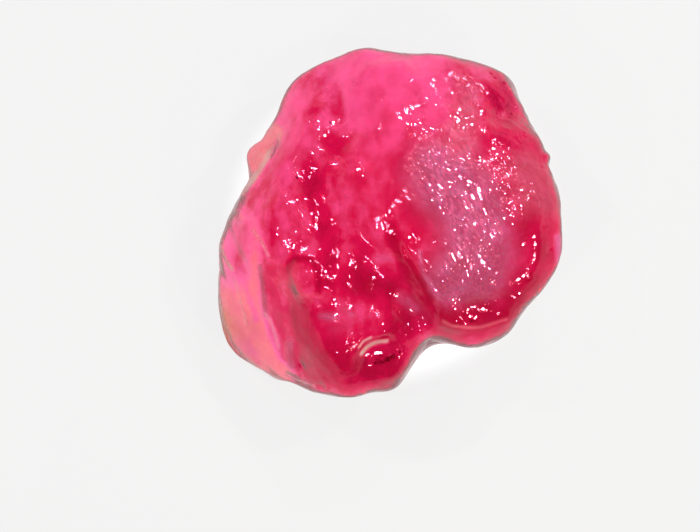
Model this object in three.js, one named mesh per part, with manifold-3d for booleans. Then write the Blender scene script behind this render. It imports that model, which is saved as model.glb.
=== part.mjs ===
// A raw ruby crystal: one worn, etched nugget of corundum that lies on its flat parting face.
//
// Frame, in millimetres: +Z is up, the part rests on Z = 0, and the origin is the middle of its box at the base.
// The crystal's broad upper side, its crown, faces +Z. Bearings are in degrees, anticlockwise from +X.
//
// The surface is the boundary of one field, which is negative inside the crystal and close to a distance in
// millimetres. The field joins the worn faces, and raises or lowers the crown by its swellings and grooves. A
// geodesic sphere's points are moved out from the crystal's heart until they reach that boundary.
import * as THREE from "three";
import { ImprovedNoise } from "three/addons/math/ImprovedNoise.js";
import { mergeVertices } from "three/addons/utils/BufferGeometryUtils.js";
import Module from "manifold-3d";

// ---- Driving dimensions ----
const HEART = new THREE.Vector3(0, 0, 3.9); // where every bearing and reach is measured from
const MEAN_RADIUS = 7.7; // of the outline
const LOWEST = -0.7; // how far the uncut crystal goes on below its parting face
const GEODESIC_DETAIL = 20; // cuts along each edge of the starting icosahedron
const MARCH = 0.25; // step from the heart outwards, until the surface is passed
const HALVINGS = 24; // of that step, to place the surface in it
const EDGE_WEAR = 1.1; // blend between neighbouring faces
const HOLLOW_WEAR = 0.5; // blend round the rim of a hollow

// The widest outline, as [bearing, radius].
const OUTLINE = [
  [0, 7.5],
  [10, 7.55],
  [23, 7.7],
  [31, 7.95],
  [42, 8.2],
  [51, 8.8],
  [58, 8.4],
  [71, 8.0],
  [85, 7.6],
  [98, 7.95],
  [110, 7.85],
  [122, 7.8],
  [133, 7.1],
  [143, 6.95],
  [153, 7.3],
  [164, 6.65],
  [177, 7.1],
  [189, 7.95],
  [200, 8.25],
  [212, 8.7],
  [224, 9.0],
  [231, 8.85],
  [238, 8.3],
  [247, 8.25],
  [256, 7.9],
  [264, 7.3],
  [272, 7.2],
  [280, 6.35],
  [288, 5.85],
  [295, 6.0],
  [305, 6.7],
  [314, 7.15],
  [326, 7.1],
  [340, 7.45],
  [350, 7.7],
];

// How the sides stand at each bearing: the height of the widest line, and how far the surface above and below that
// line leans from upright, in degrees.
const SIDES = [
  { bearing: 0, height: 6.9, above: 24, below: 12 },
  { bearing: 45, height: 5.5, above: 26, below: 12 },
  { bearing: 90, height: 6.1, above: 28, below: 14 },
  { bearing: 135, height: 5.4, above: 32, below: 16 },
  { bearing: 175, height: 4.9, above: 34, below: 16 },
  { bearing: 200, height: 3.4, above: 36, below: 18 },
  { bearing: 228, height: 3.0, above: 37, below: 20 },
  { bearing: 250, height: 5.4, above: 30, below: 16 },
  { bearing: 280, height: 5.9, above: 28, below: 14 },
  { bearing: 315, height: 6.1, above: 24, below: 12 },
];

// The crown's worn faces: the bearing each one falls towards, its tilt from level and its distance from the heart.
const CROWN_FACES = [
  { bearing: -12, tilt: 11, reach: 5.4 }, // the broad frosted face
  { bearing: 80, tilt: 20, reach: 5.5 },
  { bearing: 47, tilt: 40, reach: 6.6 },
  { bearing: 132, tilt: 34, reach: 5.8 },
  { bearing: 186, tilt: 21, reach: 5.2 }, // above the flank
  { bearing: 250, tilt: 19, reach: 5.4 },
  { bearing: 305, tilt: 32, reach: 5.9 },
];

// Grooves and hollows in the crown, each along a line from one end to the other. Places are [x, y], and the width is
// across the groove where it meets the surface.
const GROOVES = [
  { from: [-3.3, 2.0], to: [0.9, -3.2], width: 2.6, depth: 0.55 }, // the long valley beside the frosted face
  { from: [-2.7, 6.2], to: [-1.9, 4.2], width: 2.2, depth: 0.3 }, // the upright valley
  { from: [1.2, -4.4], to: [2.6, -6.2], width: 2.4, depth: 0.6 }, // runs out into the notch
  { from: [-0.9, -5.7], to: [-0.1, -5.5], width: 1.6, depth: 0.35 }, // glossy dimple
  { from: [-4.6, 4.4], to: [-5.6, 2.6], width: 1.5, depth: 0.4 },
  { from: [3.2, 5.6], to: [4.6, 4.9], width: 1.7, depth: 0.3 },
];

// Low swellings of the crown: the middle, the radius of the swelling and how far it stands up.
const SWELLINGS = [
  { at: [3.7, -0.8], radius: 3.6, rise: 0.35 }, // the frosted face stands proud
  { at: [-3.8, -2.3], radius: 1.3, rise: 0.35 }, // the short column
  { at: [-2.2, -5.6], radius: 1.9, rise: 0.3 },
  { at: [-4.3, 0.8], radius: 1.7, rise: 0.25 },
  { at: [-0.3, 5.2], radius: 2.0, rise: 0.25 },
];

// Etched unevenness, as [size of a bump, height of a bump], from the largest.
const UNEVENNESS = [
  [3.4, 0.3],
  [1.5, 0.14],
];

// ---- Small helpers ----
const noise = new ImprovedNoise();

/** The larger of two distances, with the crease between them worn round. */
function wornMax(a, b, wear) {
  const near = Math.max(wear - Math.abs(a - b), 0) / wear;
  return Math.max(a, b) + (near * near * wear) / 4;
}

/** A value that is 1 in the middle of a patch and falls smoothly to 0 at its edge. */
function fade(distance, radius) {
  return 1 - THREE.MathUtils.smoothstep(distance, 0, radius);
}

/** The direction at a bearing and a height above level, both in degrees. */
function direction(bearing, elevation) {
  const turn = THREE.MathUtils.degToRad(bearing);
  const lift = THREE.MathUtils.degToRad(elevation);
  return new THREE.Vector3(Math.cos(turn) * Math.cos(lift), Math.sin(turn) * Math.cos(lift), Math.sin(lift));
}

/** A function of bearing that runs smoothly through [bearing, value] pairs and closes on itself. */
function roundTheCompass(pairs) {
  return (bearing) => {
    const turn = THREE.MathUtils.euclideanModulo(bearing, 360);
    const after = pairs.findIndex(([at]) => at > turn);
    const start = (after < 0 ? pairs.length : after) - 1;
    const knot = (step) => {
      const index = start + step;
      const lap = Math.floor(index / pairs.length);
      const [at, value] = pairs[THREE.MathUtils.euclideanModulo(index, pairs.length)];
      return [at + 360 * lap, value];
    };
    const [[a0, v0], [a1, v1], [a2, v2], [a3, v3]] = [-1, 0, 1, 2].map(knot);
    const t = (turn - a1) / (a2 - a1);
    const slope1 = ((v2 - v0) / (a2 - a0)) * (a2 - a1);
    const slope2 = ((v3 - v1) / (a3 - a1)) * (a2 - a1);
    return (
      v1 * (2 * t ** 3 - 3 * t ** 2 + 1) +
      slope1 * (t ** 3 - 2 * t ** 2 + t) +
      v2 * (3 * t ** 2 - 2 * t ** 3) +
      slope2 * (t ** 3 - t ** 2)
    );
  };
}

// ---- The field ----
const outlineRadius = roundTheCompass(OUTLINE);
const widestHeight = roundTheCompass(SIDES.map((side) => [side.bearing, side.height]));
const leanAbove = roundTheCompass(SIDES.map((side) => [side.bearing, side.above]));
const leanBelow = roundTheCompass(SIDES.map((side) => [side.bearing, side.below]));

/** The sides: a ring that leans in above and below its widest line. */
function sides(p) {
  const bearing = THREE.MathUtils.radToDeg(Math.atan2(p.y, p.x));
  const out = (Math.hypot(p.x, p.y) / outlineRadius(bearing) - 1) * MEAN_RADIUS;
  const up = p.z - widestHeight(bearing);
  const above = THREE.MathUtils.degToRad(leanAbove(bearing));
  const below = THREE.MathUtils.degToRad(leanBelow(bearing));
  const worn = wornMax(
    out * Math.cos(above) + up * Math.sin(above),
    out * Math.cos(below) - up * Math.sin(below),
    EDGE_WEAR,
  );
  return worn - EDGE_WEAR / 4; // the outline is given as worn
}

/** The crown's worn faces. */
function crown(p) {
  return CROWN_FACES.map(({ bearing, tilt, reach }) =>
    direction(bearing, 90 - tilt).dot(p.clone().sub(HEART)) - reach,
  ).reduce((a, b) => wornMax(a, b, EDGE_WEAR));
}

/** How far the crown stands above (or, below 0, under) its plain faces at a point of its plan. */
function crownRelief(p) {
  const here = new THREE.Vector3(p.x, p.y, 0);
  const rises = SWELLINGS.map(
    ({ at, radius, rise }) => rise * fade(here.distanceTo(new THREE.Vector3(...at, 0)), radius),
  );
  const falls = GROOVES.map(({ from, to, width, depth }) => {
    const line = new THREE.Line3(new THREE.Vector3(...from, 0), new THREE.Vector3(...to, 0));
    const nearest = line.closestPointToPoint(here, true, new THREE.Vector3());
    return -depth * fade(here.distanceTo(nearest), width / 2 + HOLLOW_WEAR);
  });
  return [...rises, ...falls].reduce((a, b) => a + b, 0);
}

/** The natural unevenness of an etched surface. */
function unevenness(p) {
  return UNEVENNESS.map(([size, height]) => height * noise.noise(p.x / size, p.y / size, p.z / size)).reduce(
    (a, b) => a + b,
  );
}

/** Below 0 inside the crystal, before its base is cut. */
function field(p) {
  const upperHalf = THREE.MathUtils.smoothstep(p.z, HEART.z, HEART.z + 2);
  const body = wornMax(wornMax(sides(p), crown(p), EDGE_WEAR), LOWEST - p.z, EDGE_WEAR);
  return body - upperHalf * crownRelief(p) - unevenness(p);
}

/** The point where the ray from the heart along a direction leaves the crystal. */
function surfacePoint(ray) {
  const along = (length) => HEART.clone().addScaledVector(ray, length);
  let inside = 0;
  while (field(along(inside + MARCH)) < 0) inside += MARCH;
  let outside = inside + MARCH;
  for (let halving = 0; halving < HALVINGS; halving++) {
    const middle = (inside + outside) / 2;
    if (field(along(middle)) < 0) inside = middle;
    else outside = middle;
  }
  return along(inside);
}

// ---- The solid ----
const wasm = await Module();
wasm.setup();

/** A closed geometry with nothing but positions as a solid for joining and cutting. */
function solidOf(geometry) {
  const bare = geometry.clone();
  bare.deleteAttribute("normal");
  bare.deleteAttribute("uv");
  const merged = mergeVertices(bare);
  return new wasm.Manifold(
    new wasm.Mesh({
      numProp: 3,
      vertProperties: new Float32Array(merged.getAttribute("position").array),
      triVerts: new Uint32Array(merged.index.array),
    }),
  );
}

/** A solid as a geometry to show. */
function geometryOf(solid) {
  const mesh = solid.getMesh();
  const geometry = new THREE.BufferGeometry();
  geometry.setAttribute("position", new THREE.BufferAttribute(mesh.vertProperties, 3));
  geometry.setIndex(new THREE.BufferAttribute(mesh.triVerts, 1));
  geometry.computeVertexNormals();
  return geometry;
}

/** The crystal before its base is cut: a geodesic sphere moved out to the surface. */
function uncutCrystal() {
  const geometry = new THREE.IcosahedronGeometry(1, GEODESIC_DETAIL);
  const position = geometry.getAttribute("position");
  const ray = new THREE.Vector3();
  for (let i = 0; i < position.count; i++) {
    ray.fromBufferAttribute(position, i).normalize();
    position.setXYZ(i, ...surfacePoint(ray));
  }
  return geometry;
}

/** The crystal with its flat parting face at Z = 0 and its box centred on the origin in plan. */
function crystalGeometry() {
  const side = 4 * MEAN_RADIUS;
  const belowBase = new THREE.BoxGeometry(side, side, side).translate(0, 0, -side / 2);
  const geometry = geometryOf(solidOf(uncutCrystal()).subtract(solidOf(belowBase)));
  geometry.computeBoundingBox();
  const middle = geometry.boundingBox.getCenter(new THREE.Vector3());
  return geometry.translate(-middle.x, -middle.y, 0);
}

const ruby = new THREE.MeshStandardMaterial({ color: 0xd8145a, roughness: 0.2, metalness: 0 });
const crystal = new THREE.Mesh(crystalGeometry(), ruby);
crystal.name = "ruby_crystal";

const part = new THREE.Group();
part.add(crystal);

export default part;
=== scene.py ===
"""A raw ruby crystal, lying on its flat parting face on a pale studio table.

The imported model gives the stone's body, its place and its size. This script gives it its looks: a fine
skin with the worn faces, ledges, grooves and etching of a natural corundum surface, and a see-through,
pinkish-red material with plain transmission, refraction and absorption, which scatters light where the
skin is frosted.

Sizes and places are in millimetres, in the model's own axes, unless a name says otherwise. Bearings are
in degrees, anticlockwise from +X. Blender's own units stay metres.
"""

import logging
import math
import random
from dataclasses import dataclass
from enum import Enum
from typing import Any, Sequence

import bmesh
import bpy
import numpy as np
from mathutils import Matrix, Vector, noise
from mathutils.bvhtree import BVHTree


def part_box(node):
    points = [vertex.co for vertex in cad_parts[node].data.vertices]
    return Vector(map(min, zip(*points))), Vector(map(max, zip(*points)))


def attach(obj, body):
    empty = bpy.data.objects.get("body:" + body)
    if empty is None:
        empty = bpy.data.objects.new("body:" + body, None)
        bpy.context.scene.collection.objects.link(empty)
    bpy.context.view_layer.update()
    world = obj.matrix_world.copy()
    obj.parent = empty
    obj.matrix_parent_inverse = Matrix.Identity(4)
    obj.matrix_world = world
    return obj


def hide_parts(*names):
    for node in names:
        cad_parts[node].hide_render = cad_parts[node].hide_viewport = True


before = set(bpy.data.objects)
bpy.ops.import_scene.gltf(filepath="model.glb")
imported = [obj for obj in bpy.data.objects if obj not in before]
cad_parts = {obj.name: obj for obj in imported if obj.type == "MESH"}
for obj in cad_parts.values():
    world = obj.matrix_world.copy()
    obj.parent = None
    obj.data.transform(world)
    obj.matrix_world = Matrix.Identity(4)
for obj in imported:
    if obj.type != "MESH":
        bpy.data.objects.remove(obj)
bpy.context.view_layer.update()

LOG = logging.getLogger("ruby")
MM = 0.001
NODE = "ruby_crystal"

Place = tuple[float, float]
Span = tuple[float, float]
Colour = tuple[float, float, float]
WHITE: Colour = (1.0, 1.0, 1.0)

# The crystal's layers crop out on the crown in this direction, and its ledges and strokes follow it.
GRAIN_BEARING = -58.0
ALONG_GRAIN = Vector((math.cos(math.radians(GRAIN_BEARING)), math.sin(math.radians(GRAIN_BEARING)), 0))
ACROSS_GRAIN = ALONG_GRAIN.cross(Vector((0, 0, 1)))


def smoothstep(values: np.ndarray, low: float, high: float) -> np.ndarray:
    """Runs smoothly from 0 at low to 1 at high."""
    share = np.clip((values - low) / (high - low), 0.0, 1.0)
    return share * share * (3 - 2 * share)


def srgb(red: int, green: int, blue: int) -> Colour:
    """The linear colour of an 8-bit display colour."""
    shares = (value / 255 for value in (red, green, blue))
    return tuple(s / 12.92 if s <= 0.04045 else ((s + 0.055) / 1.055) ** 2.4 for s in shares)


def rgba(colour: Colour) -> tuple[float, float, float, float]:
    """A colour as an opaque socket value."""
    return (*colour, 1.0)


# ---- Shader graphs ----


class Sock:
    """A node's output that Python's operators work on. Each operator adds one Math node."""

    def __init__(self, graph: "Graph", socket: bpy.types.NodeSocket) -> None:
        """Keeps the output and the graph it belongs to."""
        self.graph = graph
        self.socket = socket

    def math(self, operation: str, first: Any, second: Any) -> "Sock":
        """The output of a Math node on two numbers or outputs."""
        values = {"Value": first, "Value_001": second}
        return self.graph.add("ShaderNodeMath", {"operation": operation}, values)

    def __add__(self, other: Any) -> "Sock":
        """This plus other."""
        return self.math("ADD", self, other)

    __radd__ = __add__

    def __sub__(self, other: Any) -> "Sock":
        """This less other."""
        return self.math("SUBTRACT", self, other)

    def __rsub__(self, other: Any) -> "Sock":
        """The other less this."""
        return self.math("SUBTRACT", other, self)

    def __mul__(self, other: Any) -> "Sock":
        """This times other."""
        return self.math("MULTIPLY", self, other)

    __rmul__ = __mul__

    def between(self, low: float, high: float) -> "Sock":
        """Runs smoothly from 0 where this is low to 1 where it is high."""
        inputs = {"Value": self, "From Min": low, "From Max": high}
        return self.graph.add("ShaderNodeMapRange", {"interpolation_type": "SMOOTHSTEP"}, inputs)


class Graph:
    """A material's or the world's node tree, and the one way in which nodes are added to it."""

    def __init__(self, tree: bpy.types.NodeTree) -> None:
        """Starts the tree empty."""
        self.tree = tree
        tree.nodes.clear()

    @staticmethod
    def pick(sockets: Sequence[bpy.types.NodeSocket], name: str) -> bpy.types.NodeSocket:
        """The socket with that identifier or, failing that, that name."""
        exact = [s for s in sockets if s.identifier == name]
        return exact[0] if exact else next(s for s in sockets if s.name == name)

    def add(self, kind: str, settings: dict[str, Any], inputs: dict[str, Any], out: str = "") -> Sock:
        """Adds one node.

        Args:
            kind: The node's type.
            settings: The node's own settings, set before its sockets.
            inputs: What goes into its sockets: an output of another node, or a value.
            out: The output wanted, or the first one if empty.

        Returns:
            The node's output.
        """
        node = self.tree.nodes.new(kind)
        for name, value in settings.items():
            setattr(node, name, value)
        for name, value in inputs.items():
            socket = self.pick(node.inputs, name)
            if isinstance(value, Sock):
                self.tree.links.new(value.socket, socket)
            else:
                socket.default_value = value
        outputs = [s for s in node.outputs if s.enabled]
        return Sock(self, self.pick(outputs, out) if out else outputs[0]) if outputs else None

    def mixed(self, share: Any, first: Any, second: Any) -> Sock:
        """The first colour, with that share of it replaced by the second."""
        inputs = {"Factor_Float": share, "A_Color": first, "B_Color": second}
        return self.add("ShaderNodeMix", {"data_type": "RGBA"}, inputs, "Result_Color")

    def vector(self, operation: str, first: Any, second: Any) -> Sock:
        """The output of a Vector Math node on a vector and a second vector or scale."""
        inputs = {"Vector": first, "Scale" if operation == "SCALE" else "Vector_001": second}
        return self.add("ShaderNodeVectorMath", {"operation": operation}, inputs)

    def length(self, vector: Sock) -> Sock:
        """How long a vector is."""
        return self.add("ShaderNodeVectorMath", {"operation": "LENGTH"}, {"Vector": vector}, "Value")

    def places(self) -> Sock:
        """Places on the piece, in millimetres."""
        return self.vector("SCALE", self.add("ShaderNodeTexCoord", {}, {}, "Object"), 1 / MM)

    def cloud(self, at: Sock, size: float, detail: float = 2.0, roughness: float = 0.5) -> Sock:
        """Soft random variation from 0 to 1 whose patches are about size across."""
        inputs = {"Vector": at, "Scale": 1 / size, "Detail": detail, "Roughness": roughness}
        return self.add("ShaderNodeTexNoise", {}, inputs)

    def cells(self, at: Sock, size: float, out: str) -> Sock:
        """Cells of about that size: the distance to a cell's middle, or a colour for each cell."""
        return self.add("ShaderNodeTexVoronoi", {}, {"Vector": at, "Scale": 1 / size}, out)

    def attribute(self, name: str, out: str = "Fac") -> Sock:
        """A value, vector or colour stored on the piece's points."""
        return self.add("ShaderNodeAttribute", {"attribute_name": name}, {}, out)


# ---- Where the stone's features lie ----


@dataclass(frozen=True)
class Trail:
    """A path in plan that a feature of the crown follows. One point makes a spot."""

    points: tuple[Place, ...]
    steps: int = 4

    def offsets(self, plan: np.ndarray) -> tuple[np.ndarray, np.ndarray, np.ndarray]:
        """How places in plan lie beside the path.

        Args:
            plan: The places, one row each.

        Returns:
            The distance to the path, the side it is on (1 left, -1 right, as the path runs), and how far
            along the path the nearest point is, from 0 to 1.
        """
        nodes = self.rounded()
        if len(nodes) == 1:
            away = plan - nodes[0]
            return np.hypot(away[:, 0], away[:, 1]), np.ones(len(plan)), np.full(len(plan), 0.5)
        distance = np.full(len(plan), np.inf)
        side = np.ones(len(plan))
        along = np.zeros(len(plan))
        for step, (start, end) in enumerate(zip(nodes, nodes[1:])):
            run = end - start
            share = np.clip(((plan - start) @ run) / (run @ run), 0, 1)
            away = plan - (start + share[:, None] * run)
            length = np.hypot(away[:, 0], away[:, 1])
            closer = length < distance
            left = np.sign(run[0] * (plan[:, 1] - start[1]) - run[1] * (plan[:, 0] - start[0]))
            distance = np.where(closer, length, distance)
            side = np.where(closer, left, side)
            along = np.where(closer, (step + share) / (len(nodes) - 1), along)
        return distance, side, along

    def rounded(self) -> list[np.ndarray]:
        """Puts points in between, so that the path runs through its own in one smooth curve.

        Returns:
            All the path's points in order.
        """
        knots = [np.array(p) for p in self.points]
        if len(knots) < 3:
            return knots
        ends = [2 * knots[0] - knots[1], *knots, 2 * knots[-1] - knots[-2]]
        nodes = []
        for a, b, c, d in zip(ends, ends[1:], ends[2:], ends[3:]):
            for t in np.arange(self.steps) / self.steps:
                bend = 2 * a - 5 * b + 4 * c - d + t * (3 * b - 3 * c + d - a)
                nodes.append(b + 0.5 * t * (c - a + t * bend))
        return [*nodes, knots[-1]]

    def near(self, plan: np.ndarray, reach: float, soft: float = 1.0) -> np.ndarray:
        """1 on the path, falling smoothly to 0 at a distance of reach, over the soft share of it."""
        return 1 - smoothstep(self.offsets(plan)[0], (1 - soft) * reach, reach)


@dataclass(frozen=True)
class Fold:
    """A rounded ridge (rise above 0) or groove (below 0) along a path."""

    path: tuple[Place, ...]
    reach: float
    rise: float

    def height(self, plan: np.ndarray) -> np.ndarray:
        """How far the surface is moved out."""
        return self.rise * Trail(self.path).near(plan, self.reach)


@dataclass(frozen=True)
class Ledge:
    """A step whose high side is on the left of its path, with a crisp edge and a long run back."""

    path: tuple[Place, ...]
    rise: float
    run_back: float
    edge: float
    fade: float = 0.2

    def height(self, plan: np.ndarray) -> np.ndarray:
        """Works out how far the surface is moved out.

        Args:
            plan: The places in plan, one row each.

        Returns:
            The height at each place.
        """
        distance, side, along = Trail(self.path).offsets(plan)
        ends = smoothstep(along, 0.0, self.fade) * smoothstep(1 - along, 0.0, self.fade)
        high = smoothstep(side * distance, -self.edge, self.edge)
        return self.rise * ends * high * (1 - smoothstep(distance, self.edge, self.run_back))


class Tint(Enum):
    """The reds and pinks of the skin, as 8-bit display colours. CREAM and BLUSH also paint a few highlights.
    """

    PINK = (252, 84, 142)
    CORAL = (250, 78, 112)
    ROSE = (246, 70, 124)
    CERISE = (236, 34, 90)
    CRIMSON = (216, 14, 66)
    WINE = (200, 18, 60)
    LILAC = (212, 124, 172)
    MAUVE = (224, 114, 144)
    BLUSH = (255, 186, 184)
    APRICOT = (255, 176, 120)
    CREAM = (252, 222, 205)

    @property
    def linear(self) -> Colour:
        """The colour as light adds up."""
        return srgb(*self.value)


@dataclass(frozen=True)
class Wash:
    """A soft zone round a path: its tint, share of frosted skin and depth of red. Some paint highlights and
    shade.
    """

    path: tuple[Place, ...]
    reach: float
    strength: float
    tint: Tint
    frost: float
    depth: float
    soft: float = 1.0

    def cover(self, plan: np.ndarray) -> np.ndarray:
        """How much of the zone's look is on the skin, from 0 to 1."""
        return self.strength * Trail(self.path).near(plan, self.reach, self.soft)


@dataclass(frozen=True)
class Mark:
    """One small etch mark: a round pit or a stroke, how large it is, and how its facet leans."""

    trail: Trail
    size: float
    lean: tuple[float, float, float]


@dataclass(frozen=True)
class Marks:
    """A cluster of small etch marks, the first the largest: pits, or strokes if they have a length."""

    at: Place
    spread: float
    count: int
    glint: float = 0.055
    length: float = 0.0
    bearing: float = GRAIN_BEARING
    reach: float = 0.14
    depth: float = 0.025
    lesser_sizes: Span = (0.2, 0.8)
    turn_scatter: float = 9.0
    lean_scatter: float = 0.014
    etched: float = 1.2
    glint_reach: float = 0.58
    glint_soft: float = 0.6
    least_glint: float = 0.6

    def scattered(self, dice: random.Random) -> list[Mark]:
        """Strews the marks, the first at the middle of the cluster and the others round it.

        Args:
            dice: Where the random draws come from.

        Returns:
            The marks, the largest first.
        """
        marks = []
        for index in range(self.count):
            throw = self.spread / 2 if index else 0.0
            middle = np.array(self.at) + [dice.gauss(0, throw), dice.gauss(0, throw)]
            size = dice.uniform(*self.lesser_sizes) if index else 1.0
            turn = math.radians(self.bearing + dice.gauss(0, self.turn_scatter))
            half = np.array([math.cos(turn), math.sin(turn)]) * self.length * size / 2
            ends = (tuple(middle - half), tuple(middle + half)) if self.length else (tuple(middle),)
            loose = self.lean_scatter
            lean = (dice.gauss(0, loose), dice.gauss(0, loose), 0.0) if index else (0.0, 0.0, 0.0)
            marks.append(Mark(Trail(ends), size, lean))
        return marks

    def close(self, plan: np.ndarray) -> np.ndarray:
        """The indices of the places in plan that the cluster can reach."""
        reach = 2 * self.spread + self.length + self.reach
        return np.flatnonzero(np.hypot(*(plan - self.at).T) < reach)

    def cover(self, plan: np.ndarray) -> np.ndarray:
        """How much of the finest etching round the marks is on the skin, from 0 to 1."""
        return Trail((self.at,)).near(plan, self.etched * self.spread)

    def height(self, plan: np.ndarray, mark: Mark) -> np.ndarray:
        """How far one of the marks moves the surface out, which is 0 or less."""
        return -self.depth * mark.size * mark.trail.near(plan, self.reach * mark.size)

    def bright(self, plan: np.ndarray, mark: Mark) -> np.ndarray:
        """Works out how far places are on one mark's bright facet. The nearest place always is.

        Args:
            plan: The places in plan, one row each.
            mark: The mark.

        Returns:
            A share from 0 to 1 for each place.
        """
        bright = mark.trail.near(plan, self.glint_reach * self.glint * mark.size, self.glint_soft)
        nearest = np.argmin(mark.trail.offsets(plan)[0])
        bright[nearest] = max(bright[nearest], self.least_glint * mark.size)
        return bright


FOLDS = (
    Fold(((-2.6, 5.9), (-2.2, 4.3)), 0.8, -0.08),  # the upright valley at the top left
    Fold(((-3.7, 1.7), (-3.0, -0.3), (-2.6, -1.9)), 1.0, -0.12),  # the diagonal valley
    Fold(((-1.4, -1.9), (0.3, -3.0), (1.5, -4.1)), 1.0, -0.12),
    Fold(((-3.75, -1.9), (-3.7, -3.0)), 0.7, 0.10),  # the short column
    Fold(((-0.75, -5.7), (-0.1, -5.5)), 0.8, -0.15),  # the glossy dimple
    Fold(((-1.45, -5.7), (-1.15, -5.2), (-0.5, -4.9), (0.2, -4.9), (0.6, -5.3)), 0.35, 0.06),
    Fold(((2.4, -4.4), (2.9, -4.6), (4.0, -4.65), (5.2, -4.3)), 0.4, 0.06),  # the lower lip
    Fold(((3.6, -3.8), (4.4, -3.7)), 0.7, -0.12),  # the pocket above it
    Fold(((-4.6, -6.9), (-3.9, -7.2), (-3.0, -7.35)), 0.3, -0.06),
    Fold(((7.1, 2.9),), 0.4, 0.16),  # the nub on the edge
    Fold(((-0.9, 6.6), (0.6, 6.9)), 0.6, 0.12),
    Fold(((5.2, 6.2), (5.9, 5.1)), 0.3, 0.08),
)

LEDGES = (
    Ledge(((0.5, -0.1), (0.7, -1.2), (1.2, -2.1), (1.7, -3.0), (2.2, -3.6)), 0.16, 1.8, 0.25),
    Ledge(((-6.5, 1.4), (-5.8, 2.4), (-5.1, 3.2), (-4.9, 4.1)), -0.16, 1.4, 0.25),  # the thin flake
    Ledge(((-4.7, -6.6), (-5.1, -5.2), (-5.5, -4.2), (-5.6, -2.3), (-6.2, -0.6)), -0.06, 1.6, 0.3),
    Ledge(((-4.1, -6.9), (-4.05, -5.2)), 0.10, 0.7, 0.2),
    Ledge(((-3.2, -4.0), (-1.6, -3.7)), -0.10, 0.9, 0.2),
    Ledge(((2.4, 2.4), (3.4, 1.9), (3.9, 1.2), (4.2, 0.3)), 0.10, 0.9, 0.16),
    Ledge(((-1.8, 4.2), (-1.95, 5.0), (-2.0, 5.9)), -0.08, 1.0, 0.25),
    Ledge(((6.1, 0.2), (6.4, -1.2), (6.0, -2.3), (5.2, -2.8)), 0.10, 0.9, 0.2),
    Ledge(((2.9, 5.1), (4.0, 5.0), (4.1, 3.6)), 0.08, 0.7, 0.15),
)

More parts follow.
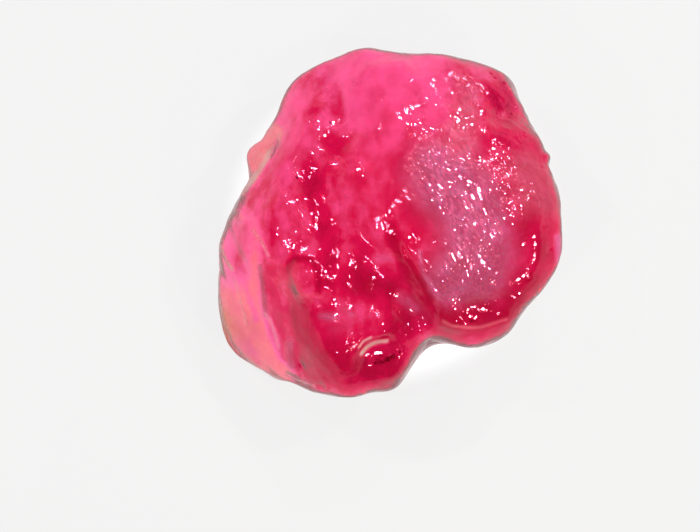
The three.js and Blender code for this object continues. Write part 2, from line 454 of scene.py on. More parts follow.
MARKS = tuple(Marks(*row) for row in (
    # The bright end, the upright valley and the diagonal valley, from the top down.
    ((-1.5, 6.0), 0.3, 4, 0.055, 0.1), ((-0.4, 5.2), 0.3, 3, 0.02),
    ((-2.42, 4.3), 0.5, 6, 0.07, 0.12, 100), ((-2.8, 3.78), 0.6, 9, 0.08, 0.08, 90),
    ((-3.5, 4.4), 0.5, 4, 0.03), ((-1.85, 3.7), 0.35, 8, 0.04, 0.08, 100),
    ((-3.2, 3.3), 0.6, 6, 0.03), ((-2.35, 2.5), 0.7, 7, 0.09, 0.2, 0),
    ((-1.35, 2.25), 0.5, 4, 0.06, 0.05, 40), ((-3.3, 2.25), 0.7, 8, 0.04),
    ((-3.95, 2.0), 0.5, 5, 0.05, 0.1, -30), ((-5.25, 2.3), 0.35, 7, 0.04, 0.12, 55),
    ((-4.5, 1.15), 0.4, 7, 0.05, 0.08, 60), ((-6.1, 1.2), 0.5, 5, 0.05, 0.1, 30),
    ((0.0, 0.4), 0.35, 6, 0.05, 0.08, -80), ((-0.3, -0.22), 0.3, 3, 0.05, 0.28, -72),
    ((-4.9, -0.55), 0.4, 4, 0.07), ((-3.75, -1.25), 0.4, 5, 0.05, 0.25, 12),
    ((-3.35, -1.5), 0.4, 7, 0.03, 0.1, 10), ((-4.2, -1.15), 0.15, 2, 0.02, 0.25, 70),
    ((-2.9, -2.15), 0.12, 3, 0.05), ((-2.67, -2.42), 0.35, 5, 0.05, 0.1, -75),
    ((-2.4, -3.4), 0.3, 4, 0.06), ((-2.35, -3.62), 0.3, 4, 0.05, 0.08, 0),
    ((-2.3, -4.07), 0.3, 3, 0.06, 0.12, 15), ((-1.7, -3.75), 0.25, 3, 0.05, 0.2, 45),
    ((-3.45, -3.45), 0.6, 7, 0.03), ((-1.75, -5.2), 0.1, 1, 0.07),
    # The glossy dimple and the lower end.
    ((-1.0, -5.87), 0.1, 2, 0.09, 0.12, 60), ((-0.45, -5.8), 0.1, 2, 0.1, 0.26, -5),
    ((0.45, -5.6), 0.5, 6, 0.03, 0.12, 40), ((-3.85, -6.4), 0.3, 3, 0.02, 0.2, -55),
    ((0.3, -3.3), 0.4, 6, 0.05, 0.08, 20), ((0.75, -4.6), 0.35, 4, 0.03, 0.1, 70),
    ((1.8, -5.3), 0.4, 5, 0.03, 0.2, 50),
    # The granular face, the frosted face and their edges, from the top down.
    ((3.1, 4.9), 0.5, 8, 0.07, 0.16, -35), ((3.0, 4.35), 0.5, 12, 0.045, 0.08, -70),
    ((3.4, 4.25), 0.4, 8, 0.04, 0.06, -30), ((4.05, 4.7), 0.25, 7, 0.03, 0.05, 90),
    ((4.1, 4.0), 0.25, 8, 0.04, 0.06, 90), ((2.8, 5.7), 0.6, 6, 0.03, 0.1, -30),
    ((3.4, 6.4), 0.6, 6, 0.03), ((1.4, 4.25), 0.8, 8, 0.02, 0.3, -58), ((4.75, 6.45), 0.5, 6, 0.04),
    ((5.3, 6.0), 0.4, 6, 0.04, 0.12, -55), ((5.85, 5.2), 0.25, 5, 0.04, 0.25, -48),
    ((5.1, 4.75), 0.5, 6, 0.04, 0.05, 0), ((5.9, 3.87), 0.4, 7, 0.05, 0.18, 25),
    ((4.55, 3.2), 0.5, 8, 0.06, 0.08, -20), ((4.9, 3.25), 0.3, 4, 0.04),
    ((3.45, 2.8), 0.3, 5, 0.06, 0.16, -40), ((4.05, 2.65), 0.35, 7, 0.05, 0.22, 5),
    ((2.1, 3.0), 0.6, 6, 0.03, 0.14, -10), ((2.55, 2.25), 0.4, 6, 0.05, 0.2, -10),
    ((3.0, 2.0), 0.2, 4, 0.06, 0.16, -30), ((3.62, 1.65), 0.1, 2, 0.1, 0.45, -42),
    ((3.92, 1.2), 0.1, 2, 0.11, 0.5, -64), ((1.8, 1.45), 0.6, 9, 0.025, 0.35, -58),
    ((2.2, 1.1), 0.7, 12, 0.03, 0.4, -60), ((2.7, 1.65), 0.5, 8, 0.03, 0.22, -20),
    ((3.25, 0.65), 0.4, 7, 0.05, 0.3, -60), ((3.35, 1.3), 0.5, 7, 0.04, 0.12, -50),
    ((4.15, 0.4), 0.2, 4, 0.05, 0.28, -62), ((3.67, 0.05), 0.3, 5, 0.05, 0.16, 75),
    ((4.7, 1.4), 0.6, 9, 0.03, 0.12, 20), ((5.25, 0.25), 0.4, 7, 0.05, 0.14, 10),
    ((5.7, 0.7), 0.6, 9, 0.03, 0.1, -30), ((6.3, 1.25), 0.5, 9, 0.07, 0.08, 80),
    ((6.6, 0.7), 0.6, 8, 0.03, 0.08, -40), ((7.05, 1.7), 0.4, 6, 0.05, 0.14, -50),
    ((6.9, 2.55), 0.4, 8, 0.06, 0.16, -30), ((6.6, 2.9), 0.5, 6, 0.04),
    ((0.87, -0.7), 0.25, 5, 0.035, 0.5, -74), ((1.12, -0.75), 0.25, 4, 0.045, 0.35, -62),
    ((4.45, -0.7), 0.25, 4, 0.045, 0.3, -55), ((4.75, -0.45), 0.25, 5, 0.045, 0.25, -60),
    ((2.4, -0.9), 0.7, 10, 0.02, 0.2, -58), ((2.8, -1.6), 0.35, 7, 0.045, 0.4, -62),
    ((3.2, -1.6), 0.3, 6, 0.04, 0.42, -70), ((3.4, -2.3), 0.4, 7, 0.035, 0.3, -58),
    ((3.85, -2.2), 0.4, 5, 0.06, 0.06, 0), ((4.1, -1.8), 0.25, 4, 0.05, 0.2, -55),
    ((4.35, -2.05), 0.3, 5, 0.05, 0.14, -40), ((1.45, -2.0), 0.5, 10, 0.025, 0.2, -60),
    ((1.92, -2.88), 0.1, 2, 0.1, 0.4, -66), ((2.3, -2.8), 0.5, 8, 0.04, 0.14, -10),
    ((4.6, -2.6), 0.5, 9, 0.04, 0.12, 30), ((2.8, -3.4), 0.7, 11, 0.035, 0.12, -40),
    # The pocket, and the edge on the right.
    ((3.45, -3.95), 0.3, 7, 0.04, 0.16, 60), ((3.75, -4.27), 0.2, 4, 0.06, 0.14, 10),
    ((4.2, -3.7), 0.5, 12, 0.035, 0.1, 40), ((5.45, -3.3), 0.2, 3, 0.06, 0.14, -45),
    ((4.5, -3.2), 0.4, 5, 0.04), ((5.35, -2.66), 0.2, 3, 0.03, 0.3, 12),
    ((5.8, -2.45), 0.15, 3, 0.035, 0.3, 42), ((6.4, -2.5), 0.3, 4, 0.06, 0.1, 80),
    ((7.05, -1.25), 0.4, 8, 0.05, 0.12, 10), ((5.8, -1.0), 0.6, 8, 0.025),
))

WASHES = tuple(Wash(*row) for row in (
    (((-1.0, 6.8), (1.4, 6.4)), 3.2, 0.95, Tint.PINK, 0.3, 0.35),  # the bright end
    (((-4.6, 5.0), (-5.0, 3.6)), 1.9, 0.9, Tint.CORAL, 0.3, 0.44),
    (((-1.2, 4.8), (1.6, 3.8)), 2.2, 0.8, Tint.ROSE, 0.3, 0.42),
    (((-1.2, 3.0), (-0.6, 1.0)), 1.4, 0.8, Tint.ROSE, 0.3, 0.61),
    (((-1.5, 5.4), (-1.4, 4.4)), 0.8, 0.7, Tint.PINK, 0.4, 0.32),
    # The deeper cerise down the upright valley is painted shade in the valley.
    (((-2.45, 5.8), (-2.4, 5.0), (-2.3, 4.2)), 0.6, 0.95, Tint.CERISE, 0.1, 0.56, 0.5),
    (((-2.7, 3.6), (-2.2, 3.3)), 0.6, 0.9, Tint.CRIMSON, 0.1, 0.72, 0.8),
    (((-4.7, -2.6), (-5.0, -0.6), (-4.9, 0.6)), 1.3, 0.8, Tint.CERISE, 0.1, 0.63),
    (((-4.2, 1.2), (-3.8, 0.3), (-3.5, -0.6)), 0.6, 0.8, Tint.ROSE, 0.2, 0.6),
    # The deep crimson down the diagonal valley is partly the stone's darker tone and partly painted shade in
    # the valley.
    (((-3.3, 1.9), (-3.1, 0.6), (-2.6, -0.8), (-2.7, -2.4)), 0.8, 0.9, Tint.CRIMSON, 0.1, 0.85, 0.8),
    (((-1.7, -0.4), (-1.5, -1.4)), 1.0, 0.8, Tint.CERISE, 0.1, 0.65),
    (((-1.4, -2.6), (0.0, -3.0), (0.9, -3.8), (0.6, -4.9)), 1.4, 0.95, Tint.WINE, 0.12, 0.97),
    (((-4.7, -3.4), (-4.0, -5.0), (-3.0, -6.0), (0.0, -6.5)), 1.9, 0.95, Tint.WINE, 0.15, 0.95),
    (((-3.75, -2.1), (-3.7, -3.0)), 0.6, 0.8, Tint.CERISE, 0.1, 0.68, 0.5),  # the short column
    (((-4.4, -3.0), (-4.4, -2.0), (-4.0, -1.65), (-3.4, -1.7), (-3.1, -2.3), (-3.1, -3.1)),
     0.25, 0.8, Tint.CRIMSON, 0.1, 1.0),
    (((2.4, 2.0), (3.6, 0.4), (3.8, -1.6), (3.2, -2.6)), 3.0, 0.95, Tint.LILAC, 0.6, 0.94, 0.75),
    (((3.5, 6.6), (3.6, 5.4), (3.3, 4.4), (3.2, 3.4)), 1.3, 0.85, Tint.MAUVE, 0.7, 0.65),
    (((3.2, 7.1), (4.6, 6.4)), 0.8, 0.9, Tint.CERISE, 0.15, 0.6),
    (((5.2, 5.8), (5.2, 4.4), (6.4, 3.4)), 1.3, 0.95, Tint.CERISE, 0.15, 0.8, 0.8),
    (((5.1, 4.75),), 0.3, 0.8, Tint.MAUVE, 0.7, 0.5),
    (((5.8, 2.3), (6.5, 0.8)), 1.6, 0.9, Tint.MAUVE, 0.5, 0.9, 0.8),
    (((6.4, -0.4), (6.9, -1.6)), 1.2, 0.9, Tint.CERISE, 0.2, 0.95),
    (((2.6, -4.5), (4.0, -4.1), (5.2, -4.0), (6.2, -2.8)), 1.2, 0.95, Tint.WINE, 0.25, 1.0),
    # The deep wine line along the low foot of the frosted face's ledge is painted shade at the step.
    (((0.1, -0.3), (0.5, -1.4), (1.0, -2.4), (1.5, -3.3), (2.1, -4.0)),
     0.5, 0.85, Tint.WINE, 0.1, 0.97),
    (((1.3, -1.3), (1.45, -2.2), (1.85, -2.8), (2.15, -3.3)), 0.2, 0.7, Tint.LILAC, 0.8, 0.6),
    (((7.45, -0.7), (7.55, -1.9)), 0.3, 0.9, Tint.LILAC, 0.7, 0.3),  # a sliver on the edge
    (((-6.9, -0.6), (-6.9, -2.4), (-6.8, -4.2), (-6.3, -5.8), (-5.5, -6.9)),
     1.5, 1.0, Tint.BLUSH, 0.2, 0.0, 0.35),  # the flank
    (((-6.6, -0.4), (-6.7, -2.2)), 1.1, 0.95, Tint.CORAL, 0.2, 0.6),
    (((-5.0, -2.6), (-4.9, -4.4), (-4.4, -5.8)), 0.8, 0.95, Tint.CERISE, 0.05, 0.68, 0.6),
    (((-6.6, -2.2), (-6.2, -3.4), (-5.9, -4.4)), 0.3, 0.7, Tint.CORAL, 0.2, 0.4),
    (((-6.9, -2.6), (-6.6, -3.6), (-6.4, -4.6)), 0.12, 0.7, Tint.CREAM, 0.6, 0.0),
    (((-6.2, -5.2), (-5.7, -6.2)), 0.3, 0.6, Tint.CORAL, 0.2, 0.35),
    (((-7.5, -4.0), (-7.2, -5.0)), 0.8, 0.95, Tint.APRICOT, 0.6, 0.0),
    (((-6.7, 0.75), (-6.3, 0.4)), 0.35, 0.9, Tint.CERISE, 0.15, 0.5),
    (((-6.4, 2.2), (-5.9, 3.0), (-5.2, 3.9)), 0.75, 0.95, Tint.BLUSH, 0.5, 0.0, 0.5),  # the flake
    # The cream line along the flake's edge is a painted highlight.
    (((-6.5, 1.3), (-6.0, 1.9), (-5.6, 2.5), (-5.2, 3.3)), 0.25, 0.9, Tint.CREAM, 0.8, 0.0),
    (((-5.1, 3.0), (-5.0, 3.6)), 0.2, 0.8, Tint.MAUVE, 0.6, 0.3),
    # The thin blush line on the flank's ridge is a painted highlight.
    (((-6.0, -0.4), (-5.6, -0.9), (-5.3, -1.5)), 0.13, 0.8, Tint.BLUSH, 0.7, 0.1),
    (((-7.5, -1.1), (-7.3, -1.6), (-7.0, -2.1)), 0.15, 0.9, Tint.CREAM, 0.7, 0.0),
    (((-5.7, -2.0), (-5.55, -3.0), (-5.5, -4.1)), 0.24, 0.85, Tint.MAUVE, 0.8, 0.6),
    (((-5.5, -4.1), (-5.2, -4.6), (-4.9, -5.6)), 0.14, 0.8, Tint.BLUSH, 0.7, 0.2),
    (((-4.35, -5.4), (-4.3, -6.4)), 0.4, 0.85, Tint.MAUVE, 0.75, 0.6),
    (((-4.6, -6.9), (-4.0, -7.1), (-3.3, -7.3)), 0.13, 0.8, Tint.BLUSH, 0.7, 0.3),
    (((-2.95, -4.15), (-2.4, -4.2)), 0.4, 0.85, Tint.LILAC, 0.65, 0.7),
    (((-1.9, -3.85), (-1.65, -4.1)), 0.35, 0.8, Tint.LILAC, 0.55, 0.7),
    (((-2.4, -4.7), (-1.9, -4.6)), 0.6, 0.5, Tint.LILAC, 0.4, 0.8),
    (((0.5, -3.3), (1.1, -3.8)), 0.5, 0.8, Tint.LILAC, 0.45, 0.85),
    (((-0.5, -1.6), (0.0, -1.6)), 0.35, 0.7, Tint.LILAC, 0.4, 0.6),
    # The two cream lines in the glossy dimple are a painted reflection of a lamp, not the stone's own
    # colour.
    (((-1.3, -5.5), (-1.1, -5.25), (-0.8, -5.1)), 0.12, 0.9, Tint.CREAM, 0.9, 0.2),
    (((-1.2, -5.8), (-0.95, -5.5), (-0.5, -5.3), (-0.1, -5.25)), 0.16, 1.0, Tint.CREAM, 0.95, 0.2),
    # The pale blush line along the lower lip is a painted highlight on its edge.
    (((2.4, -4.4), (2.9, -4.6), (4.0, -4.65), (5.2, -4.3)), 0.13, 0.8, Tint.BLUSH, 0.45, 0.6),
))

ZONE_EDGE: Span = (0.05, 0.75)


class Zone(Enum):
    """The parts of the crown that are etched in their own way, each a path and how far it reaches."""

    FROSTED = (Trail(((2.6, 2.2), (4.0, 0.6), (4.4, -1.6), (3.3, -2.9))), 2.6)
    GRANULAR = (Trail(((3.2, 5.2), (5.2, 4.4), (6.2, 2.2), (6.4, 0.4))), 2.0)
    FLANK = (Trail(((-6.9, -0.4), (-7.0, -3.4), (-6.3, -5.8), (-5.4, -7.0))), 1.7)
    FLAKE = (Trail(((-6.5, 2.0), (-5.9, 3.0), (-5.4, 3.8))), 0.8)

    def cover(self, plan: np.ndarray) -> np.ndarray:
        """How far into the zone places in plan are, from 0 outside to 1."""
        trail, reach = self.value
        return smoothstep(trail.near(plan, reach), *ZONE_EDGE)


# ---- The stone ----


@dataclass(frozen=True)
class RubyFinish:
    """See-through pinkish-red corundum under a glossy, etched skin that is frosted in places."""

    refraction: float = 1.77
    silk_refraction: float = 1.5
    shine: Colour = (1.0, 0.22, 0.36)
    silk_shine: Colour = (1.0, 0.35, 0.55)
    silk_roughness: float = 0.08
    frost_roughness: float = 0.34
    satin_frost: Span = (0.25, 0.7)
    roughness_drift: float = 0.05
    absorbed_per_metre: Colour = (6.0, 200.0, 130.0)
    salmon: Colour = (1.0, 0.17, 0.165)
    pink: Colour = (0.97, 0.11, 0.42)
    ripe: Colour = (0.45, 0.0003, 0.026)
    deep: Colour = (0.17, 0.0001, 0.006)
    crimson: Colour = srgb(196, 10, 56)
    scatter: Colour = (1.0, 0.25, 0.45)
    scatter_reach: float = 1.2
    pink_depths: Span = (0.0, 0.35)
    ripe_depths: Span = (0.3, 0.7)
    deep_depths: Span = (0.6, 1.0)
    patch_size: float = 0.8
    patch_edge: Span = (0.35, 0.65)
    patch_share: float = 0.12
    silk_patch_share: float = 0.35
    streak_size: float = 0.7
    streak_squash: Colour = (1.0, 0.35, 1.0)
    streak_edge: Span = (0.3, 0.7)
    streak_share: float = 0.16
    grain_size: float = 0.30
    pit_size: float = 0.24
    grain_height: float = 0.06
    facet_size: float = 0.09
    facet_stretch: float = 2.4
    facet_tilt: float = 0.45
    spark_pull: float = 24.0

    def make(self) -> bpy.types.Material:
        """Builds the material.

        Returns:
            The stone's material.
        """
        material = bpy.data.materials.new("ruby")
        material.use_nodes = True
        graph = Graph(material.node_tree)
        at = graph.places()
        frost = graph.attribute("frost")
        patches = graph.cloud(at, self.patch_size, 4.0, 0.6).between(*self.patch_edge)
        skin = {"Roughness": self.roughness(graph, at, frost), "Normal": self.relief(graph, at)}
        clear = {
            "Base Color": self.dye_and_painted_shade(graph, at, patches),
            "IOR": self.refraction,
            "Transmission Weight": 1.0,
            "Specular Tint": rgba(self.shine),
        }
        tint = graph.attribute("tint", "Color")
        milky = {
            "Base Color": graph.mixed(patches * self.silk_patch_share, tint, rgba(self.crimson)),
            "IOR": self.silk_refraction,
            "Specular Tint": rgba(self.silk_shine),
            "Subsurface Weight": 1.0,
            "Subsurface Radius": self.scatter,
            "Subsurface Scale": self.scatter_reach * MM,
        }
        glass = graph.add("ShaderNodeBsdfPrincipled", {}, clear | skin)
        silk = graph.add("ShaderNodeBsdfPrincipled", {}, milky | skin)
        both = {"Fac": frost, "Shader": glass, "Shader_001": silk}
        surface = graph.add("ShaderNodeMixShader", {}, both)
        density = max(self.absorbed_per_metre) * 1.02  # A little over the most, so that some of each passes.
        passed = tuple(1 - absorbed / density for absorbed in self.absorbed_per_metre)
        inside = graph.add("ShaderNodeVolumeAbsorption", {}, {"Color": rgba(passed), "Density": density})
        graph.add("ShaderNodeOutputMaterial", {}, {"Surface": surface, "Volume": inside})
        return material

    def dye_and_painted_shade(self, graph: Graph, at: Sock, patches: Sock) -> Sock:
        """Makes the red of the clear stone, salmon to deep wine, from a depth that holds painted shade too.

        Args:
            graph: The stone's graph.
            at: Places on the stone in millimetres.
            patches: Soft patches from 0 to 1 that are a little deeper than the rest.

        Returns:
            The colour, which is white on the base, so that light passes through the red once.
        """
        drawn = graph.vector("MULTIPLY", at, self.streak_squash)
        streaks = graph.cloud(drawn, self.streak_size, 2.0).between(*self.streak_edge)
        depth = graph.attribute("depth") + (patches - 0.5) * self.patch_share
        depth += (streaks - 0.5) * self.streak_share
        dye_and_painted_shade = graph.mixed(depth.between(*self.pink_depths), rgba(self.salmon), rgba(self.pink))
        dye_and_painted_shade = graph.mixed(depth.between(*self.ripe_depths), dye_and_painted_shade, rgba(self.ripe))
        dye_and_painted_shade = graph.mixed(depth.between(*self.deep_depths), dye_and_painted_shade, rgba(self.deep))
        return graph.mixed(graph.attribute("off_base"), rgba(WHITE), dye_and_painted_shade)

    def relief(self, graph: Graph, at: Sock) -> Sock:
        """Makes the finest etching, which is too small for the mesh, as a normal.

        Args:
            graph: The stone's graph.
            at: Places on the stone in millimetres.

        Returns:
            The normal: soft grains and pits, tiny flat facets where the skin is etched, and a mark's own
            direction where it has a bright facet.
        """
        grains = graph.cloud(at, self.grain_size, 3.0, 0.55)
        pits = graph.cells(at, self.pit_size, "Distance")
        frosted = graph.attribute("frost").between(0.3, 0.6)
        height = (grains * 0.7 + pits * 0.3) * (0.3 + frosted * 0.4)
        bump = {"Height": height, "Distance": self.grain_height * MM, "Strength": 1.0}
        soft = graph.add("ShaderNodeBump", {}, bump)
        tilt = graph.vector("SUBTRACT", self.facets(graph, at), (0.5, 0.5, 0.5))
        tilt = graph.vector("SCALE", tilt, graph.attribute("etch") * self.facet_tilt)
        spark = graph.vector("SCALE", graph.attribute("spark", "Vector"), self.spark_pull)
        leant = graph.vector("ADD", graph.vector("ADD", soft, tilt), spark)
        return graph.add("ShaderNodeVectorMath", {"operation": "NORMALIZE"}, {"Vector": leant})

    def facets(self, graph: Graph, at: Sock) -> Sock:
        """Gives each tiny facet that the skin is etched into a random vector from 0 to 1.

        Args:
            graph: The stone's graph.
            at: Places on the stone in millimetres.

        Returns:
            The vector of the facet at each place. The facets are drawn out along the grain.
        """
        turn, stretch = (0.0, 0.0, math.radians(GRAIN_BEARING)), (self.facet_stretch, 1.0, 1.0)
        inputs = {"Vector": at, "Rotation": turn, "Scale": stretch}
        turned = graph.add("ShaderNodeMapping", {"vector_type": "TEXTURE"}, inputs)
        return graph.cells(turned, self.facet_size, "Color")

    def roughness(self, graph: Graph, at: Sock, frost: Sock) -> Sock:
        """Makes clear skin glossy and frosted skin satin, but for the bright facets.

        Args:
            graph: The stone's graph.
            at: Places on the stone in millimetres.
            frost: The share of frosted skin.

        Returns:
            The roughness.
        """
        share = graph.add("ShaderNodeSeparateXYZ", {}, {"Vector": self.facets(graph, at)}, "Z")
        dull = 1 - share.between(0.5, 0.6) * graph.attribute("etch").between(0.1, 0.5)
        dull *= 1 - graph.length(graph.attribute("spark", "Vector")).between(0.0, 0.2)
        satin = frost.between(*self.satin_frost) * (self.frost_roughness - self.silk_roughness) * dull
        return self.silk_roughness + satin + (graph.cloud(at, 0.6) - 0.5) * self.roughness_drift


@dataclass(frozen=True)
class Texture:
    """One kind of unevenness: how far it moves the surface, and how long and wide its bumps are."""

    rise: float
    size: float
    width: float = 0.0


@dataclass
class CrystalSkin:
    """The stone's surface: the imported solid's shape, with the relief that the solid leaves out."""

    cuts: int = 95
    smoothing_passes: int = 18
    smoothing: float = 0.5
    heart_height: float = 0.43
    upward: float = 0.35
    weld_in_metres: float = 1e-7
    seed: int = 7
    # How high up, or how upright, the skin is where each thing starts and where it is full.
    etched_heights: Span = (2.8, 4.6)
    lifted_heights: Span = (0.05, 0.7)
    painted_heights: Span = (0.4, 2.6)
    drifting_heights: Span = (2.5, 5.0)
    wall_ups: Span = (0.1, 0.45)
    rim_ups: Span = (0.0, 0.3)
    facet_ups: Span = (0.6, 0.85)
    base_downs: Span = (0.7, 0.95)
    melt: Texture = Texture(0.07, 1.7)
    peel: Texture = Texture(0.03, 0.8)
    ripple: Texture = Texture(0.014, 0.5)
    grains: Texture = Texture(0.045, 0.42)
    strokes: Texture = Texture(0.022, 1.1, 0.2)
    layers: Texture = Texture(0.09, 3.2, 0.6)
    wall_waves: Texture = Texture(0.10, 1.0)
    wall_pits: Texture = Texture(0.05, 0.6)
    wall_squash: tuple[float, float, float] = (0.6, 0.6, 2.2)
    drift: Texture = Texture(1.1, 1.6)
    wet_tint: Tint = Tint.CERISE
    wet_frost: float = 0.15
    wet_depth: float = 0.6
    # The deeper red on upright walls is painted shade of the stone's darker rim.
    wall_painted_shade: float = 0.66
    pale_wall: float = 0.85
    rim_frost: float = 0.8
    zone_etch: float = 0.6
    spark_reach: Span = (0.86, 0.9)

    def build(self, studio: "Studio") -> bpy.types.Object:
        """Makes the skin as one closed mesh.

        Args:
            studio: Where the light comes from and where it is seen from.

        Returns:
            The stone.
        """
        mesh = self.draped()
        dice = random.Random(self.seed)
        marks = [(cluster, cluster.scattered(dice)) for cluster in MARKS]
        self.etch(mesh, marks)
        self.paint(mesh)
        self.set_facets(mesh, marks, studio)
        stone = bpy.data.objects.new("ruby_skin", mesh)
        bpy.context.scene.collection.objects.link(stone)
        return stone

    def draped(self) -> bpy.types.Mesh:
        """Draws a geodesic sphere, denser at the top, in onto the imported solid, and smooths it.

        Returns:
            The smooth skin.
        """
        low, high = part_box(NODE)
        lift = self.heart_height * (high[2] - low[2])
        heart = Vector(((low[0] + high[0]) / 2, (low[1] + high[1]) / 2, low[2] + lift))
        copy = bmesh.new()
        copy.from_mesh(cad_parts[NODE].data)
        bmesh.ops.remove_doubles(copy, verts=copy.verts[:], dist=self.weld_in_metres)
        solid = BVHTree.FromBMesh(copy)
        copy.free()
        shape = bmesh.new()
        bmesh.ops.create_icosphere(shape, subdivisions=1, radius=1.0)
        bmesh.ops.subdivide_edges(shape, edges=shape.edges[:], cuts=self.cuts, use_grid_fill=True)
        for vertex in shape.verts:
            way = (vertex.co.normalized() + Vector((0, 0, self.upward))).normalized()
            vertex.co = solid.ray_cast(heart, way)[0]
        every_way = {"use_axis_x": True, "use_axis_y": True, "use_axis_z": True}
        for _ in range(self.smoothing_passes):
            bmesh.ops.smooth_vert(shape, verts=shape.verts[:], factor=self.smoothing, **every_way)
        for face in shape.faces:
            face.smooth = True
        mesh = bpy.data.meshes.new("ruby_skin")
        shape.to_mesh(mesh)
        shape.free()
        return mesh

    @staticmethod
    def rows(items: bpy.types.bpy_prop_collection, key: str) -> np.ndarray:
        """Reads one vector for each item, such as a point or a point's normal.

        Args:
            items: The items.
            key: The name of the vector.

        Returns:
            The vectors, one row each.
        """
        flat = np.empty(len(items) * 3)
        items.foreach_get(key, flat)
        return flat.reshape(-1, 3)

    def etch(self, mesh: bpy.types.Mesh, marks: list[tuple[Marks, list[Mark]]]) -> None:
        """Moves the points out and in by the relief, and keeps the base flat.

        Args:
            mesh: The smooth skin.
            marks: The clusters of etch marks, each with its marks.
        """
        places = self.rows(mesh.vertices, "co") / MM
        plan = places[:, :2]
        crown = smoothstep(places[:, 2], *self.etched_heights)
        lifted = smoothstep(places[:, 2], *self.lifted_heights)
        height = crown * sum(feature.height(plan) for feature in FOLDS + LEDGES)
        pits = np.zeros(len(plan))
        for cluster, strewn in marks:
            close = cluster.close(plan)
            for mark in strewn:
                pits[close] = np.minimum(pits[close], cluster.height(plan[close], mark))
        height += crown * pits
        height += lifted * self.etching(places, plan, crown)
        moved = places + self.rows(mesh.vertex_normals, "vector") * height[:, None]
        moved[:, 2] = np.maximum(moved[:, 2], 0.0)
        low, high = (np.array(corner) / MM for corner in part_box(NODE))
        moved = np.clip(moved, low, high)
        mesh.vertices.foreach_set("co", (moved * MM).ravel())
        mesh.update()

    def etching(self, places: np.ndarray, plan: np.ndarray, crown: np.ndarray) -> np.ndarray:
        """Works out the natural unevenness of the skin.

        Args:
            places: The skin's points, one row each.
            plan: The same in plan.
            crown: How far each point is on the crown, from 0 to 1.

        Returns:
            How far each point is moved out.
        """
        frosted = Zone.FROSTED.cover(plan) * crown
        granular = Zone.GRANULAR.cover(plan) * crown
        flank = Zone.FLANK.cover(plan)
        flake = Zone.FLAKE.cover(plan)
        # Each zone's own texture takes the place of most of the soft, melted look.
        melted = (1 - 0.75 * frosted) * (1 - 0.4 * granular) * (1 - 0.7 * flank) * (1 - 0.6 * flake)
        height = melted * self.swirls(places, self.melt)
        height += melted * self.dimples(places, self.peel)
        height += melted * self.swirls(places, self.ripple)
        height += (0.2 + 0.8 * granular + 0.4 * frosted) * self.dimples(places, self.grains)
        height += (frosted + 0.3 * granular) * self.hatching(places, self.strokes)
        height += (flank + 0.5 * flake) * self.hatching(places, self.layers)
        waves = self.swirls(places * self.wall_squash, self.wall_waves)
        return height + (1 - crown) * (waves + self.swirls(places, self.wall_pits))

    @staticmethod
    def swirls(places: np.ndarray, texture: Texture) -> np.ndarray:
        """Soft random bumps and hollows."""
        return texture.rise * np.array([noise.noise(row) for row in (places / texture.size).tolist()])

    @staticmethod
    def dimples(places: np.ndarray, texture: Texture) -> np.ndarray:
        """Round dimples that meet in ridges, from 0 in the middle of one to about the full rise."""
        rows = (places / texture.size).tolist()
        return texture.rise * np.array([noise.voronoi(row)[0][0] ** 2 for row in rows])

    @staticmethod
    def hatching(places: np.ndarray, texture: Texture) -> np.ndarray:
        """Makes bumps and hollows that are drawn out along the grain.

        Args:
            places: The skin's points, one row each.
            texture: How high, long and wide they are.

        Returns:
            How far each point is moved out.
        """
        along = places @ np.array(ALONG_GRAIN) / texture.size
        across = places @ np.array(ACROSS_GRAIN) / texture.width
        drawn = np.stack([along, across, places[:, 2] / (3 * texture.width)], axis=1)
        return texture.rise * np.array([noise.noise(row) for row in drawn.tolist()])

    def paint(self, mesh: bpy.types.Mesh) -> None:
        """Stores on its points the skin's frosting, tint, depth of red and share of tiny facets, some
        painted highlights and shade.

        Args:
            mesh: The finished skin.
        """
        places = self.rows(mesh.vertices, "co") / MM
        low_down = 1 - smoothstep(places[:, 2], *self.drifting_heights)
        plan = places[:, :2] + (low_down * self.swirls(places, self.drift))[:, None]
        up = self.rows(mesh.vertex_normals, "vector")[:, 2]
        crown = smoothstep(places[:, 2], *self.painted_heights)
        frost = np.full(len(places), self.wet_frost)
        depth = np.full(len(places), self.wet_depth)
        tint = np.tile(np.array(self.wet_tint.linear), (len(places), 1))
        for wash in WASHES:
            cover = wash.cover(plan) * crown
            tint += (np.array(wash.tint.linear) - tint) * cover[:, None]
            frost += (wash.frost - frost) * cover
            depth += (wash.depth - depth) * cover
        pale = np.maximum(Zone.FLANK.cover(plan), Zone.FLAKE.cover(plan))
        # Upright walls, but for the pale flank and flake, get a deeper red: painted shade.
        wall = (1 - smoothstep(up, *self.wall_ups)) * (1 - self.pale_wall * pale)
        depth += (self.wall_painted_shade - depth) * wall
        frost += (self.rim_frost - frost) * (1 - smoothstep(up, *self.rim_ups)) * (0.5 + 0.5 * pale)
        off_base = 1 - smoothstep(-up, *self.base_downs)
        rough = np.maximum(Zone.FROSTED.cover(plan), Zone.GRANULAR.cover(plan))
        etch = np.maximum(np.max([marks.cover(plan) for marks in MARKS], axis=0), self.zone_etch * rough)
        etch *= crown * smoothstep(up, *self.facet_ups)
        shares = {"etch": etch, "off_base": off_base, "depth": depth, "frost": frost * off_base}
        for name, values in shares.items():
            self.store(mesh, name, "FLOAT", "value", values)
        self.store(mesh, "tint", "FLOAT_COLOR", "color", np.hstack([tint, np.ones((len(places), 1))]))

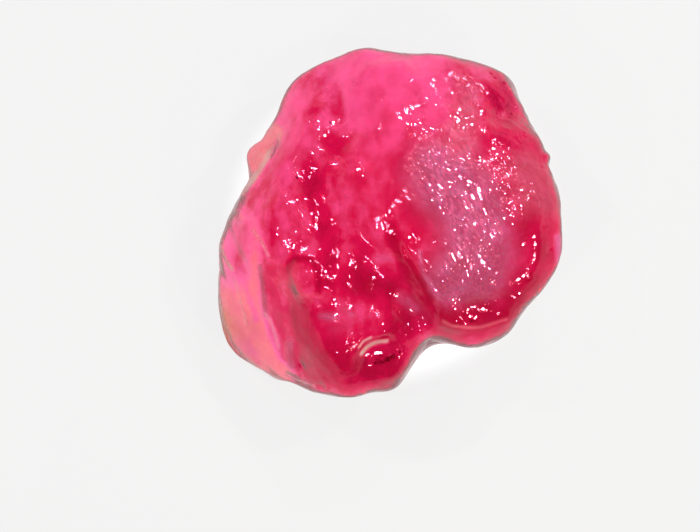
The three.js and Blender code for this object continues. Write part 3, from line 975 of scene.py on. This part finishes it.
    def set_facets(
        self, mesh: bpy.types.Mesh, marks: list[tuple[Marks, list[Mark]]], studio: "Studio"
    ) -> None:
        """Stores the way that the bright facet of each mark faces, fixed in the stone.

        Args:
            mesh: The finished skin.
            marks: The clusters of etch marks, each with its marks.
            studio: Where the light comes from and where it is seen from.
        """
        places = self.rows(mesh.vertices, "co") / MM
        normals = self.rows(mesh.vertex_normals, "vector")
        glances = studio.glances(places)
        spark = np.zeros((len(places), 3))
        for cluster, strewn in marks:
            close = cluster.close(places[:, :2])
            for mark in strewn:
                bright = cluster.bright(places[close, :2], mark)
                middle = close[np.argmax(bright)]
                nearest = max(glances, key=lambda ways: ways[middle] @ normals[middle])
                bright *= smoothstep(np.sum(nearest[close] * normals[close], axis=1), *self.spark_reach)
                brighter = bright > np.linalg.norm(spark[close], axis=1)
                spark[close[brighter]] = ((nearest[close] + mark.lean) * bright[:, None])[brighter]
        self.store(mesh, "spark", "FLOAT_VECTOR", "vector", spark)

    @staticmethod
    def store(mesh: bpy.types.Mesh, name: str, kind: str, key: str, values: np.ndarray) -> None:
        """Keeps values on the mesh's points under a name that the material reads."""
        mesh.attributes.new(name, kind, "POINT").data.foreach_set(key, values.astype(np.float32).ravel())

    def dress(self, stone: bpy.types.Object, finish: RubyFinish) -> None:
        """Gives the stone its material and says what it stands for.

        Args:
            stone: The finished stone.
            finish: What it is made of.
        """
        stone.data.materials.append(finish.make())
        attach(stone, "root")
        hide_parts(NODE)


# ---- The studio ----


@dataclass(frozen=True)
class TableFinish:
    """A plain pale table top with light under it, strongest below the stone."""

    paint: Colour = (0.08, 0.08, 0.08)
    roughness: float = 0.9
    glow: float = 1.3
    pool: Colour = (1.0, 1.0, 1.01)
    pad_share: float = 0.64
    far_share: float = 0.5
    pool_reach: Span = (5.2, 7.9)
    pad_reach: Span = (20.0, 60.0)

    def make(self) -> bpy.types.Material:
        """Builds the material.

        Returns:
            The table's material.
        """
        material = bpy.data.materials.new("pale_table")
        material.use_nodes = True
        graph = Graph(material.node_tree)
        away = graph.length(graph.places())
        pad = graph.mixed(away.between(*self.pool_reach), rgba(self.pool), rgba((self.pad_share,) * 3))
        far = rgba((self.far_share,) * 3)
        inputs = {
            "Base Color": rgba(self.paint),
            "Roughness": self.roughness,
            "Specular IOR Level": 0.0,
            "Emission Color": graph.mixed(away.between(*self.pad_reach), pad, far),
            "Emission Strength": self.glow,
        }
        surface = graph.add("ShaderNodeBsdfPrincipled", {}, inputs)
        graph.add("ShaderNodeOutputMaterial", {}, {"Surface": surface})
        return material


@dataclass(frozen=True)
class Lamp:
    """A square light that faces the stone: its bearing, height above level, side and brightness."""

    name: str
    bearing: float
    elevation: float
    side: float
    radiance: float
    warmth: Colour = WHITE
    distance: float = 90.0

    def location(self, target: Vector) -> Vector:
        """Works out where the light stands.

        Args:
            target: The point that it faces, in metres.

        Returns:
            Its place in metres.
        """
        turn, lift = math.radians(self.bearing), math.radians(self.elevation)
        away = Vector((math.cos(turn) * math.cos(lift), math.sin(turn) * math.cos(lift), math.sin(lift)))
        return target + away * self.distance * MM

    def place(self, target: Vector) -> None:
        """Puts the light in the scene.

        Args:
            target: The point that it faces, in metres.
        """
        light = bpy.data.lights.new(self.name, "AREA")
        light.shape = "SQUARE"
        light.size = self.side * MM
        light.energy = self.radiance * math.pi * light.size**2
        light.color = self.warmth
        lamp = bpy.data.objects.new(self.name, light)
        lamp.location = self.location(target)
        lamp.rotation_euler = (target - lamp.location).to_track_quat("-Z", "Y").to_euler()
        bpy.context.scene.collection.objects.link(lamp)


@dataclass
class Studio:
    """The table, the lights and the camera."""

    floor_side: float = 1600.0
    floor_gap: float = 0.01
    horizon: float = 0.95
    horizon_top: float = 0.3
    zenith: float = 0.01
    lens: float = 135.0
    sensor_width: float = 36.0
    frame_width: float = 31.5
    aim: Place = (-1.71, -1.96)
    lamps: tuple[Lamp, ...] = (
        Lamp("spark_left", 140.0, 56.0, 4.6, 230.0),
        Lamp("spark_right", 33.0, 58.0, 4.6, 260.0),
        Lamp("spark_back", 228.0, 52.0, 4.6, 210.0),
        Lamp("spark_front", 315.0, 50.0, 4.6, 240.0, (1.0, 0.92, 0.76)),
        Lamp("spark_far", 74.0, 52.0, 4.2, 250.0),
        Lamp("spark_low", 54.0, 24.0, 3.6, 260.0),
        Lamp("spark_high", 338.0, 72.0, 5.6, 120.0),
    )

    def build(self) -> None:
        """Makes the whole studio."""
        self.table()
        self.sky()
        for lamp in self.lamps:
            lamp.place(self.middle())
        self.camera()
        bpy.context.scene.view_settings.view_transform = "Standard"

    @staticmethod
    def middle() -> Vector:
        """The point that the lamps face, halfway up the stone, in metres."""
        low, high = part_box(NODE)
        return Vector((0, 0, (low[2] + high[2]) / 2))

    def table(self) -> None:
        """Makes a wide flat table top, just under the stone."""
        shape = bmesh.new()
        bmesh.ops.create_grid(shape, x_segments=1, y_segments=1, size=self.floor_side * MM / 2)
        bmesh.ops.translate(shape, verts=shape.verts[:], vec=(0, 0, -self.floor_gap * MM))
        mesh = bpy.data.meshes.new("table")
        shape.to_mesh(mesh)
        shape.free()
        mesh.materials.append(TableFinish().make())
        top = bpy.data.objects.new("table", mesh)
        bpy.context.scene.collection.objects.link(top)

    def sky(self) -> None:
        """Makes pale light all round the horizon, and a dim ceiling."""
        world = bpy.data.worlds.new("studio")
        world.use_nodes = True
        bpy.context.scene.world = world
        graph = Graph(world.node_tree)
        way = graph.add("ShaderNodeTexCoord", {}, {}, "Generated")
        height = graph.add("ShaderNodeSeparateXYZ", {}, {"Vector": way}, "Z")
        share = height.between(0.0, self.horizon_top)
        colour = graph.mixed(share, rgba((self.horizon,) * 3), rgba((self.zenith,) * 3))
        light = graph.add("ShaderNodeBackground", {}, {"Color": colour})
        graph.add("ShaderNodeOutputWorld", {}, {"Surface": light})

    def eye(self) -> Vector:
        """Where the camera is, in metres."""
        distance = self.frame_width * self.lens / self.sensor_width
        return Vector((self.aim[0] * MM, self.aim[1] * MM, self.middle().z + distance * MM))

    def glances(self, places: np.ndarray) -> list[np.ndarray]:
        """Works out how a facet at each place has to face to throw a lamp's light to the camera.

        Args:
            places: The places in millimetres, one row each.

        Returns:
            For each lamp, one direction for each place.
        """

        def toward(ends: np.ndarray) -> np.ndarray:
            """Arrows one long, one row each."""
            return ends / np.linalg.norm(ends, axis=1)[:, None]

        to_eye = toward(np.array(self.eye()) / MM - places)
        spots = [np.array(lamp.location(self.middle())) / MM for lamp in self.lamps]
        return [toward(toward(spot - places) + to_eye) for spot in spots]

    def camera(self) -> None:
        """Sets up a long lens that looks straight down on the stone."""
        data = bpy.data.cameras.new("camera")
        data.lens = self.lens
        data.sensor_width = self.sensor_width
        data.clip_start = MM
        camera = bpy.data.objects.new("camera", data)
        camera.location = self.eye()
        bpy.context.scene.collection.objects.link(camera)
        bpy.context.scene.camera = camera


def main() -> None:
    """Builds the stone and the studio, and logs the stone's triangles, the table's width and the lamps."""
    logging.basicConfig(level=logging.INFO)
    studio = Studio()
    skin = CrystalSkin()
    stone = skin.build(studio)
    skin.dress(stone, RubyFinish())
    LOG.info("%s: %d triangles", stone.name, len(stone.data.polygons))
    studio.build()
    LOG.info("table: %g mm wide; lamps: %d", studio.floor_side, len(studio.lamps))


if __name__ == "__main__":
    main()
